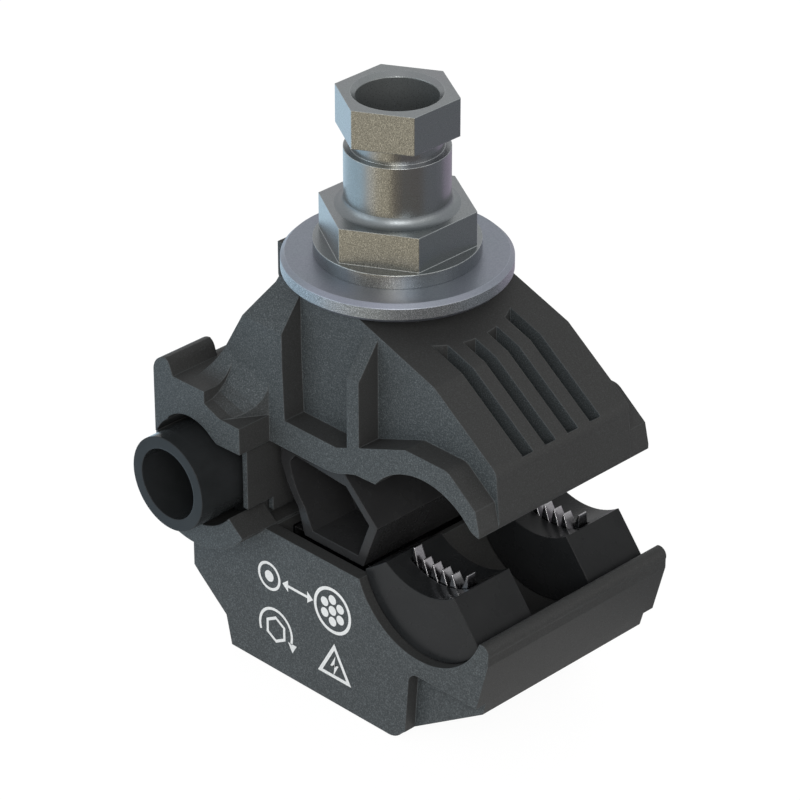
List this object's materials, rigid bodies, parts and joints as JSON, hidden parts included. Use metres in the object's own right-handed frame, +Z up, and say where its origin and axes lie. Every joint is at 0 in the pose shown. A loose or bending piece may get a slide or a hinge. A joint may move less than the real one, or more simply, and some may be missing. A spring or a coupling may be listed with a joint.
{
  "type": "insulation piercing connector",
  "caption": "Black clamp connector whose jaws bite through cable insulation with toothed blades, with a large main channel, a small tap sleeve and a shear nut on top.",
  "frame": {"origin": "on the bolt's axis at the flat underside of the lower body", "axes": "+Z up along the bolt, +X from the tap side towards the main channel, Y along the cables with the tap sleeve's mouth at -Y"},
  "size_m": [0.0427, 0.03, 0.0588],
  "materials": {
    "black_plastic": "fine grained moulding, matt",
    "inner_plastic": "smooth moulding, matt",
    "seal_rubber": "smooth, dull",
    "sleeve_rubber": "smooth, slightly shiny",
    "tinned_metal": "bright tinned",
    "washer_zinc": "matt zinc",
    "nut_zinc": "satin zinc, turned",
    "bolt_zinc": "satin zinc"
  },
  "bodies": {
    "base": {"lower_body": "black_plastic", "bolt": "bolt_zinc", "tap_sleeve": "sleeve_rubber", "lower_tap_seal": "seal_rubber", "lower_main_seal_front": "seal_rubber", "lower_main_seal_rear": "seal_rubber", "lower_blade_front": "tinned_metal", "lower_blade_rear": "tinned_metal"},
    "jaw": {"upper_body": "black_plastic", "centre_sleeve": "inner_plastic", "upper_tap_seal": "seal_rubber", "upper_main_seal_front": "seal_rubber", "upper_main_seal_rear": "seal_rubber", "upper_blade_front": "tinned_metal", "upper_blade_rear": "tinned_metal", "washer": "washer_zinc"},
    "nut": {"shear_nut": "nut_zinc"}
  },
  "joints": [
    {"name": "jaw_slide", "type": "slide", "parent": "base", "child": "jaw", "axis": [0, 0, 1], "range_m": [-0.0005, 0.0055]},
    {"name": "nut_spin", "type": "hinge", "parent": "jaw", "child": "nut", "pos_m": [0, 0, 0.0427], "axis": [0, 0, 1], "range_deg": [-180, 1980]}
  ],
  "couplings": [
    {"joint": "nut_spin", "follows": "jaw_slide", "rad_per_m": 6283.2}
  ]
}
